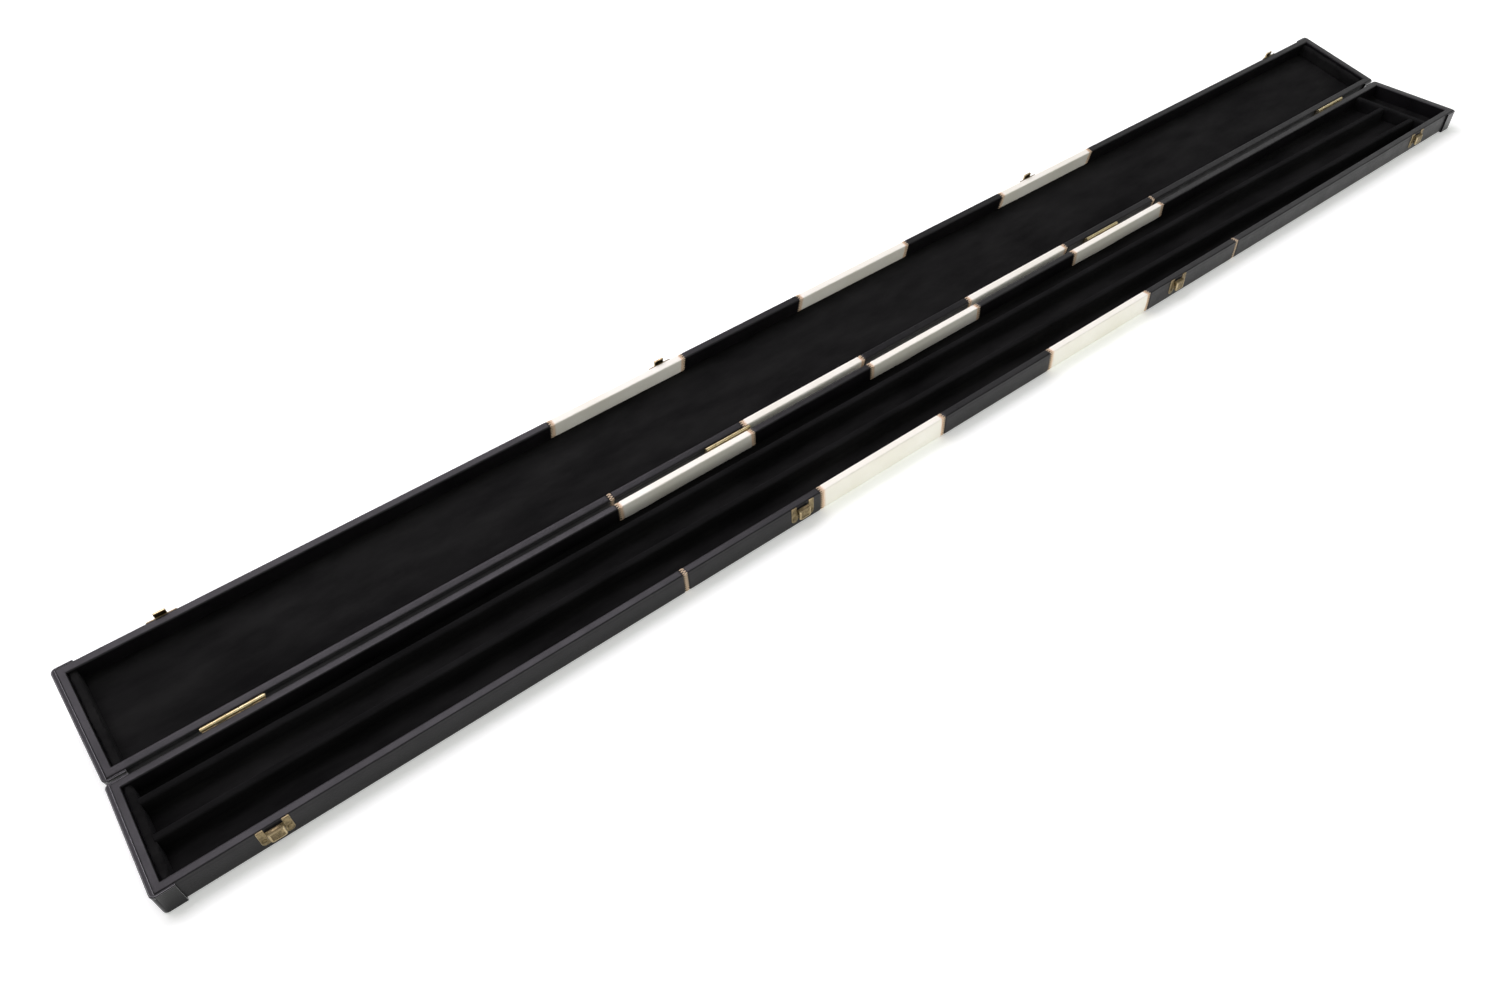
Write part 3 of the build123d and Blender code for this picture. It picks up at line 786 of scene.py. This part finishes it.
def rail():
    """The covered cross rail in front of the accessory bay."""
    half = RAIL_WIDTH / 2
    section = rounded([(-half, TRAY_FLOOR - 0.3, 0), (-half, RAIL_TOP, 2.2), (half, RAIL_TOP, 2.2),
                       (half, TRAY_FLOOR - 0.3, 0)], closed=False)
    section = divided(section, 2.4)
    rings = []
    for y in np.linspace(SIDE_RIM - 0.05, WIDTH - SIDE_RIM + 0.05, 26):
        wander = 0.12 * soft(y + 900, section[:, 1])
        rings.append([(RAIL_X + half + x + w, y, z) for (x, z), w in zip(section, wander)])
    return loft(rings)


def settle(name, shape, pressure, cap, frames=18):
    """Runs a short pressure simulation on a closed shape and returns its moved points."""
    points, faces = shape
    mesh = bpy.data.meshes.new(name)
    mesh.from_pydata([tuple(p * MM) for p in points], [], faces)
    soft_piece = bpy.data.objects.new(name, mesh)
    bpy.context.scene.collection.objects.link(soft_piece)
    bpy.context.view_layer.objects.active = soft_piece
    held = soft_piece.vertex_groups.new(name="held")
    low, high = points.min(0), points.max(0)
    margin = 0.02
    for i, p in enumerate(points):
        on_wall = min(p[0] - low[0], high[0] - p[0], p[1] - low[1], high[1] - p[1]) < margin
        if on_wall or p[2] - low[2] < margin:
            held.add([i], 1.0, "REPLACE")
    cloth = soft_piece.modifiers.new("cloth", "CLOTH")
    cloth.settings.quality = 6
    cloth.settings.mass = 0.2
    cloth.settings.tension_stiffness = 25
    cloth.settings.compression_stiffness = 25
    cloth.settings.bending_stiffness = 0.4
    cloth.settings.shrink_min = -0.025
    cloth.settings.use_pressure = True
    cloth.settings.uniform_pressure_force = pressure
    cloth.settings.effector_weights.gravity = 0
    cloth.settings.vertex_group_mass = "held"
    cloth.settings.pin_stiffness = 8
    cloth.collision_settings.use_collision = False
    for moment in range(1, frames + 1):
        bpy.context.scene.frame_set(moment)
    settled = soft_piece.evaluated_get(bpy.context.evaluated_depsgraph_get()).to_mesh()
    moved = np.empty(len(points) * 3)
    settled.vertices.foreach_get("co", moved)
    moved = moved.reshape(-1, 3) / MM
    bpy.data.objects.remove(soft_piece)
    bpy.context.scene.frame_set(1)
    shift = moved - points
    size = np.linalg.norm(shift, axis=1)
    limit = np.minimum(1, cap / np.maximum(size, 1e-6))
    return points + shift * limit[:, None]


def lid_panel():
    """The lid's padded velvet panel: crowned, tucked in at the walls, with lazy wrinkles."""
    xs = stations(END_RIM + 0.3, LENGTH - END_RIM - 0.3, 6.0, (0.6, 1.5, 3.0))
    ys = stations(SIDE_RIM + 0.2, WIDTH - SIDE_RIM - 0.2, 4.6, (0.6, 1.5, 3.0))
    x, y = np.meshgrid(xs, ys, indexing="ij")
    rim = np.minimum.reduce([x - xs[0], xs[-1] - x, y - ys[0], ys[-1] - y])
    folds = ripples(21, 16.0, 60.0, 1.6)
    long_folds = ripples(5, 40.0, 140.0, 4.0)
    crown = -1.5 * np.exp(-(rim / 2.2) ** 2)
    busy = 0.55 + 0.45 * np.exp(-((x - 60) / 130) ** 2)
    inside = 1 - np.exp(-(rim / 6.0) ** 2)
    top = LID_FLOOR - 0.45 + crown + inside * (0.28 * busy * folds(x, y)
                                               + 0.22 * long_folds(x, y))
    return slab(x, y, top, LID_FLOOR - LID_PAD)


def end_cushion(x0, floor):
    """A soft pad against an end wall: rounded on top and a little full in its middle."""
    centre = x0 + END_PAD / 2
    half = END_PAD / 2
    section = rounded([(-half, floor, 0), (-half, PAD_TOP, 2.4), (half, PAD_TOP, 2.4),
                       (half, floor, 0)], closed=False)
    section = divided(section, 1.6)
    rings = []
    for y in stations(SIDE_RIM, WIDTH - SIDE_RIM, 3.2, (0.5, 1.3, 2.4)):
        rim = min(y - SIDE_RIM, WIDTH - SIDE_RIM - y)
        pull = 0.35 * math.exp(-(rim / 1.4) ** 2)
        rings.append([(centre + x * (1 - pull / half), y, z - pull * 0.8 * (z > floor + 0.1))
                      for x, z in section])
    return loft(rings)


def velvet_inside():
    """The tray's floor, ribs and rail, and the four pads."""
    fine = (0.6, 1.4, 2.4, 3.6)
    main = floor_grid(stations(END_RIM, RAIL_X + RAIL_WIDTH / 2, 14.0, fine), channels,
                      (END_RIM + END_PAD, RAIL_X))
    bay = floor_grid(stations(RAIL_X + RAIL_WIDTH / 2, LENGTH - END_RIM, 6.0, fine),
                     lambda x: ((SIDE_RIM, WIDTH - SIDE_RIM),),
                     (RAIL_X + RAIL_WIDTH, LENGTH - END_RIM))
    piece("tray_velvet_floor", [main, bay], TRAY, "tray", VELVET, ["tray_floor_lining"],
          "black_velvet")
    piece("back_rib_velvet", [rib(BACK_RIB_FRONT)], TRAY, "tray", RIB_VELVET,
          ["back_channel_rib"], "flocked_wood")
    piece("front_rib_velvet", [rib(FRONT_RIB_FRONT)], TRAY, "tray", RIB_VELVET,
          ["front_channel_rib"], "flocked_wood")
    piece("bay_rail_velvet", [rail()], TRAY, "tray", RIB_VELVET, ["accessory_bay_rail"],
          "flocked_wood")
    pads = (("lid_velvet_panel", lid_panel(), LID, "lid", LID_VELVET, "lid_lining_pad", 0.5, 0.5),
            ("lid_left_cushion", end_cushion(END_RIM, LID_FLOOR), LID, "lid", LID_VELVET,
             "lid_left_end_pad", 3.0, 0.7),
            ("lid_right_cushion", end_cushion(LENGTH - END_RIM - END_PAD, LID_FLOOR), LID, "lid",
             LID_VELVET, "lid_right_end_pad", 3.0, 0.7),
            ("tray_left_cushion", end_cushion(END_RIM, TRAY_FLOOR), TRAY, "tray", VELVET,
             "tray_left_end_pad", 3.0, 0.7))
    for name, shape, place, body, look, node, pressure, cap in pads:
        shape = (settle(name + "_sim", shape, pressure, cap), shape[1])
        pad = piece(name, [shape], place, body, look, [node], "black_velvet")


velvet_inside()


# ---- brass fittings ----------------------------------------------------------------------

def flat_part(outline, y_back, y_front):
    """A plate of an (x, z) outline between two y planes."""
    return loft([[(x, y, z) for x, z in outline] for y in (y_back, y_front)])


def rounded_box(half_width, low, high, radius, inset):
    """A rounded rectangle in (x, z), drawn in by an inset."""
    w, r = half_width - inset, max(radius - inset * 0.6, 0.25)
    return rounded([(-w, low + inset, r), (-w, high - inset, r), (w, high - inset, r),
                    (w, low + inset, r)], arc=6)


def filled(outline, count):
    """A closed outline with extra points on the straight stretch after every corner arc."""
    points = []
    arc = 7
    for i in range(0, len(outline), arc):
        points += list(outline[i:i + arc])
        a, b = outline[i + arc - 1], outline[(i + arc) % len(outline)]
        points += [a + (b - a) * k / (count + 1) for k in range(1, count + 1)]
    return np.array(points)


def pressed_box(levels, half_width, low, high, radius, shape):
    """A shell from (inset, depth) levels, first the inside, last the front.

    shape turns an outline point and its depth into a point of the drawing.
    """
    rings = []
    for inset, depth in levels:
        outline = filled(rounded_box(half_width, low, high, radius, inset), 9)
        rings.append([shape(x, z, depth) for x, z in outline])
    return loft(rings)


def lever(centre):
    """The rocking box of a latch: dipped top edge, sloped top facet and a framed front panel.

    Its back is cut away below the pin, so that it can rock. The second result lists the facets
    round the front panel, which get the lighter brass: partly rubbed wear, partly a painted
    highlight.
    """
    middle = (LEVER_LOW + LEVER_HIGH) / 2

    def shape(x, z, depth):
        share = depth / LEVER_RISE
        top = max(0.0, (z - middle) / (LEVER_HIGH - middle))
        dip = LEVER_DIP * max(0.0, 1 - (x / LEVER_DIP_HALF) ** 10) * (1 - 0.6 * share)
        z -= top ** 3 * (dip + LEVER_SLOPE * share ** 1.5)
        undercut = LEVER_TOE * max(0.0, (PIN_Z - z) / (PIN_Z - LEVER_LOW))
        return centre + x, LEVER_BACK - max(depth, undercut), z

    levels = [(0.6, 2.4), (0.6, 0.0), (0.0, 0.0), (0.0, 1.2), (0.0, 2.2), (0.12, 2.75),
              (0.45, 3.1), (0.85, LEVER_RISE), (1.55, LEVER_RISE), (1.85, 2.85), (2.3, 2.85)]
    points, faces = pressed_box(levels, LEVER_HALF, LEVER_LOW, LEVER_HIGH, 1.9, shape)
    size = len(points) // len(levels)
    return (points, faces), range(4 * size, 8 * size)


def latch_plate(centre):
    """Back plate with two ears, a notch above and below the lever, ridges and two lugs."""
    notch, foot, toe = 6.5, -17.3, 5.2
    corners = [(-PLATE_HALF, PLATE_TOP, 0.7), (-notch, PLATE_TOP, 0.6), (-notch, -4.3, 0.9),
               (notch, -4.3, 0.9), (notch, PLATE_TOP, 0.6), (PLATE_HALF, PLATE_TOP, 0.7),
               (PLATE_HALF, foot, 3.3), (toe, foot, 3.0), (toe, -13.6, 0.5),
               (-toe, -13.6, 0.5), (-toe, foot, 3.0), (-PLATE_HALF, foot, 3.3)]
    outline = rounded(corners)
    outline[:, 0] += centre
    step = np.roll(outline, -1, 0) - np.roll(outline, 1, 0)
    step /= np.linalg.norm(step, axis=1)[:, None]
    inward = np.stack([step[:, 1], -step[:, 0]], 1)
    levels = [(0.0, 0.0), (0.0, -0.5), (0.3, -PLATE)]
    shapes = [loft([[(x, y, z) for x, z in outline + inward * inset] for inset, y in levels])]
    for side in (-1, 1):
        ridge = rounded([(-0.3, -12.4, 0.28), (-0.3, -4.7, 0.28), (0.3, -4.7, 0.28),
                         (0.3, -12.4, 0.28)], arc=4)
        ridge[:, 0] += centre + side * 6.75
        shapes.append(flat_part(ridge, -PLATE + 0.1, -PLATE - 0.35))
        x = centre + side * LUG_X
        root, tip = -PLATE + 0.1, PIN_Y - LUG_RADIUS
        low, high = PIN_Z - LUG_RADIUS, PIN_Z + LUG_RADIUS
        lug = rounded([(root, low, 0), (root, high, 0), (tip, high, 1.1), (tip, low, 1.1)])
        shapes.append(loft([[(at, y, z) for y, z in lug] for at in (x - LUG / 2, x + LUG / 2)]))
    return shapes


def strike(centre):
    """The lid's plate, and the hollow pressed nose that reaches past the rim."""
    face = WIDTH
    outline = rounded([(-PLATE_HALF, PLATE_TOP, 0.8), (-PLATE_HALF, STRIKE_LOW, 2.8),
                       (PLATE_HALF, STRIKE_LOW, 2.8), (PLATE_HALF, PLATE_TOP, 0.8)])
    outline[:, 0] += centre
    plate = flat_part(outline, face, face + PLATE)

    def shape(x, z, depth):
        behind = 1.3 if z > 0.3 else 0.7
        return centre + x, face + max(depth, behind), z

    levels = [(0.6, 2.4), (0.6, 0.0), (0.0, 0.0), (0.0, 2.4), (0.18, 2.82), (0.6, 3.0)]
    return plate, pressed_box(levels, NOSE_HALF, NOSE_LOW, NOSE_HIGH, 1.0, shape)


def screw(x, head_y, z, outward, turn):
    """A domed screw head in two halves on a thin disc, with an open slot between them."""
    def placed(points, rise):
        cos, sin = math.cos(turn), math.sin(turn)
        return [(x + a * cos - b * sin, head_y + outward * rise, z + a * sin + b * cos)
                for a, b in points]

    disc = [placed([(r * math.cos(t), r * math.sin(t)) for t in CIRCLE], rise)
            for r, rise in ((SCREW_HEAD - 0.1, -0.3), (SCREW_HEAD, 0.1), (SCREW_HEAD - 0.1, 0.22))]
    shapes = [loft(disc)]
    for side in (0, math.pi):
        rings = []
        for inset, rise in ((0.05, 0.15), (0.1, 0.3), (0.35, 0.47), (0.9, 0.6)):
            r, chord = SCREW_HEAD - inset, SLOT_HALF + inset * 0.25
            start = math.asin(chord / r)
            arc = np.linspace(start, math.pi - start, 14) + side
            rings.append(placed([(r * math.cos(t), r * math.sin(t)) for t in arc], rise))
        shapes.append(loft(rings))
    return shapes


def hinge_leaf(centre, face, outward, parity):
    """One leaf: its plate on the wall with straps to the pin, and the knuckles rolled round it."""
    axis = face + outward * GAP / 2
    half = HINGE_LENGTH / 2
    outline = rounded([(-half, -0.9, 0.3), (half, -0.9, 0.3), (half, -LEAF_HEIGHT, 1.5),
                       (-half, -LEAF_HEIGHT, 1.5)])
    outline[:, 0] += centre
    flat, barrels = [flat_part(outline, face, face + outward * LEAF)], []
    pitch = HINGE_LENGTH / KNUCKLES
    for i in range(parity, KNUCKLES, 2):
        x0 = centre - half + i * pitch + 0.2
        x1 = x0 + pitch - 0.4
        low, high = HINGE_Z - BARREL, HINGE_Z - BORE
        strap = rounded([(face, low - 0.5, 0.3), (face, high, 0.3), (axis, high, 0),
                         (axis, low, 0)])
        flat.append(loft([[(x, y, z) for y, z in strap] for x in (x0, x1)]))
        levels = ((BORE, x0 + 0.12), (BARREL - 0.14, x0), (BARREL, x0 + 0.14),
                  (BARREL, x1 - 0.14), (BARREL - 0.14, x1), (BORE, x1 - 0.12), (BORE, x0 + 0.12))
        rings = [[(x, axis + r * math.cos(t), HINGE_Z + r * math.sin(t)) for t in CIRCLE]
                 for r, x in levels]
        barrels.append(loft(rings, ends=False))
    return flat, barrels


def two_toned(name, plain, bright, place, body, bright_look, **more):
    """A brass piece in the tarnished look, with some of its shapes in a brighter one. On the
    hinges the bright barrels are partly a painted highlight and the dark leaves partly painted
    shade.
    """
    first = sum(len(faces) for _, faces in plain)
    total = first + sum(len(faces) for _, faces in bright)
    piece(name, plain + bright, place, body, BRASS, slot="antique_brass", worn_highlit_look=bright_look,
          worn_highlit_faces=range(first, total), **more)


def fittings():
    """Every latch, strike, hinge and screw."""
    turns = np.random.default_rng(4).uniform(0, math.pi, 60)
    plates = [shape for c in LATCH_CENTRES for shape in latch_plate(c)]
    # the bevelled plate edges get the lighter brass: partly rubbed wear, partly a painted
    # highlight
    piece("latch_plate_set", plates, TRAY, "tray", BRASS, ["latch_plates"], "antique_brass",
          bevel=0.12, worn_highlit_look=WORN_HIGHLIT_BRASS)
    for number, centre in enumerate(LATCH_CENTRES, 1):
        shape, worn_highlit_faces = lever(centre)
        piece(f"latch_lever_{number}_brass", [shape], TRAY, f"lever_{number}", BRASS,
              [f"latch_lever_{number}"], "antique_brass", worn_highlit_look=WORN_HIGHLIT_BRASS,
              worn_highlit_faces=worn_highlit_faces)
    strikes = [strike(c) for c in LATCH_CENTRES]
    # the strike noses get the lighter brass: partly rubbed wear, partly a painted highlight
    two_toned("strike_plate_set", [plate for plate, _ in strikes], [nose for _, nose in strikes],
              LID, "lid", WORN_HIGHLIT_BRASS, replaces=["strike_plates"], bevel=0.12)
    # hinge leaves and straps in the dark brass, partly tarnish and partly painted shade; barrels
    # bright, partly a painted highlight
    for name, face, outward, parity, place, body in (
            ("tray_hinge_leaves", WIDTH, 1, 0, TRAY, "tray"),
            ("lid_hinge_leaves", 0, -1, 1, LID, "lid")):
        leaves = [hinge_leaf(c, face, outward, parity) for c in HINGE_CENTRES]
        two_toned(name + "_brass", [shape for flat, _ in leaves for shape in flat],
                  [shape for _, barrels in leaves for shape in barrels], place, body,
                  HINGE_BRASS, replaces=[name])
    pairs = [c + side * LATCH_SCREW_X for c in LATCH_CENTRES for side in (-1, 1)]
    triples = [c + dx for c in HINGE_CENTRES for dx in HINGE_SCREWS]
    sets = (("latch_screw_heads", pairs, -PLATE, LATCH_SCREW_Z, -1, TRAY, "tray",
             "latch_plate_screws", BRASS),
            ("strike_screw_heads", pairs, WIDTH + PLATE, STRIKE_SCREW_Z, 1, LID, "lid",
             "strike_screws", BRASS),
            ("tray_hinge_screw_heads", triples, WIDTH + LEAF, HINGE_SCREW_Z, 1, TRAY, "tray",
             "tray_hinge_screws", HINGE_BRASS),
            ("lid_hinge_screw_heads", triples, -LEAF, HINGE_SCREW_Z, -1, LID, "lid",
             "lid_hinge_screws", HINGE_BRASS))
    for name, places, y, z, outward, place, body, node, look in sets:
        heads = [shape for i, x in enumerate(places)
                 for shape in screw(x, y, z, outward, turns[i])]
        piece(name, heads, place, body, look, [node], "antique_brass")


fittings()


# ---- CAD nodes that stay -----------------------------------------------------------------

def dress_nodes():
    """A look for each CAD node that no piece replaces."""
    looks = {"hinge_pins": HINGE_BRASS, "latch_pins": PIN_STEEL,
             "latch_springs": SPRING_STEEL, "wall": WOOD, "board": WOOD}
    for name, node in frame["nodes"].items():
        if node.hide_render:
            continue
        look = next((looks[key] for key in looks if key in name), BLACK)
        node.data.materials.clear()
        node.data.materials.append(look)


dress_nodes()


# ---- floor, light and camera -------------------------------------------------------------

def area_light(name, place, aim, size, power, colour=(1.0, 1.0, 1.0)):
    light = bpy.data.lights.new(name, "AREA")
    light.shape = "RECTANGLE"
    light.size, light.size_y = size
    light.energy = power
    light.color = colour
    lamp = bpy.data.objects.new(name, light)
    lamp.location = place
    lamp.rotation_euler = (Vector(aim) - Vector(place)).to_track_quat("-Z", "Y").to_euler()
    bpy.context.scene.collection.objects.link(lamp)


def studio():
    """A pale floor, a white horizon and three soft area lights."""
    look = Look("pale_floor", Roughness=0.9, Specular_IOR_Level=0.1)
    look.colour(look.ramp(look.noise(6.0), (0.3, (0.92, 0.95, 0.90)), (0.7, (0.94, 0.97, 0.92))))
    look.shader.inputs["Emission Color"].default_value = (1.0, 1.0, 1.0, 1.0)
    look.shader.inputs["Emission Strength"].default_value = 0.32
    mesh = bpy.data.meshes.new("floor")
    corners = ((-1, -1), (1, -1), (1, 1), (-1, 1))
    mesh.from_pydata([(x * FLOOR_REACH, y * FLOOR_REACH, 0) for x, y in corners], [],
                     [(0, 1, 2, 3)])
    mesh.materials.append(look.material)
    floor = bpy.data.objects.new("floor", mesh)
    bpy.context.scene.collection.objects.link(floor)
    world = bpy.data.worlds.new("studio")
    world.use_nodes = True
    nodes, links = world.node_tree.nodes, world.node_tree.links
    split = nodes.new("ShaderNodeSeparateXYZ")
    links.new(nodes.new("ShaderNodeTexCoord").outputs["Generated"], split.inputs[0])
    sky = nodes.new("ShaderNodeMapRange")
    links.new(split.outputs["Z"], sky.inputs["Value"])
    for socket, value in (("From Min", 0.06), ("From Max", 0.5), ("To Min", 0.95),
                          ("To Max", 0.36)):
        sky.inputs[socket].default_value = value
    sky.interpolation_type = "SMOOTHSTEP"
    links.new(sky.outputs["Result"], nodes["Background"].inputs["Strength"])
    nodes["Background"].inputs["Color"].default_value = (1.0, 1.0, 1.0, 1.0)
    bpy.context.scene.world = world
    area_light("overhead", (-0.45, 1.1, 2.0), (-0.2, 0.0, 0.0), (2.6, 1.6), 52.0,
               (0.96, 0.89, 1.0))
    area_light("far_overhead", (3.2, 1.5, 2.0), (1.0, 0.2, 0.0), (3.0, 1.2), 9.0)
    area_light("front_fill", (-0.2, -1.9, 1.1), (0.0, 0.0, 0.0), (2.0, 1.0), 4.0,
               (1.0, 0.96, 0.92))
    bpy.context.scene.view_settings.view_transform = "Standard"


def aim_camera():
    """The viewpoint above the near left end."""
    camera = bpy.data.cameras.new("camera")
    camera.sensor_width = 36.0
    camera.lens = CAMERA_LENS
    camera.clip_start, camera.clip_end = 0.02, 60.0
    holder = bpy.data.objects.new("camera", camera)
    holder.location = CAMERA_PLACE
    holder.rotation_euler = [math.radians(a) for a in CAMERA_TURN]
    bpy.context.scene.collection.objects.link(holder)
    bpy.context.scene.camera = holder


studio()
aim_camera()
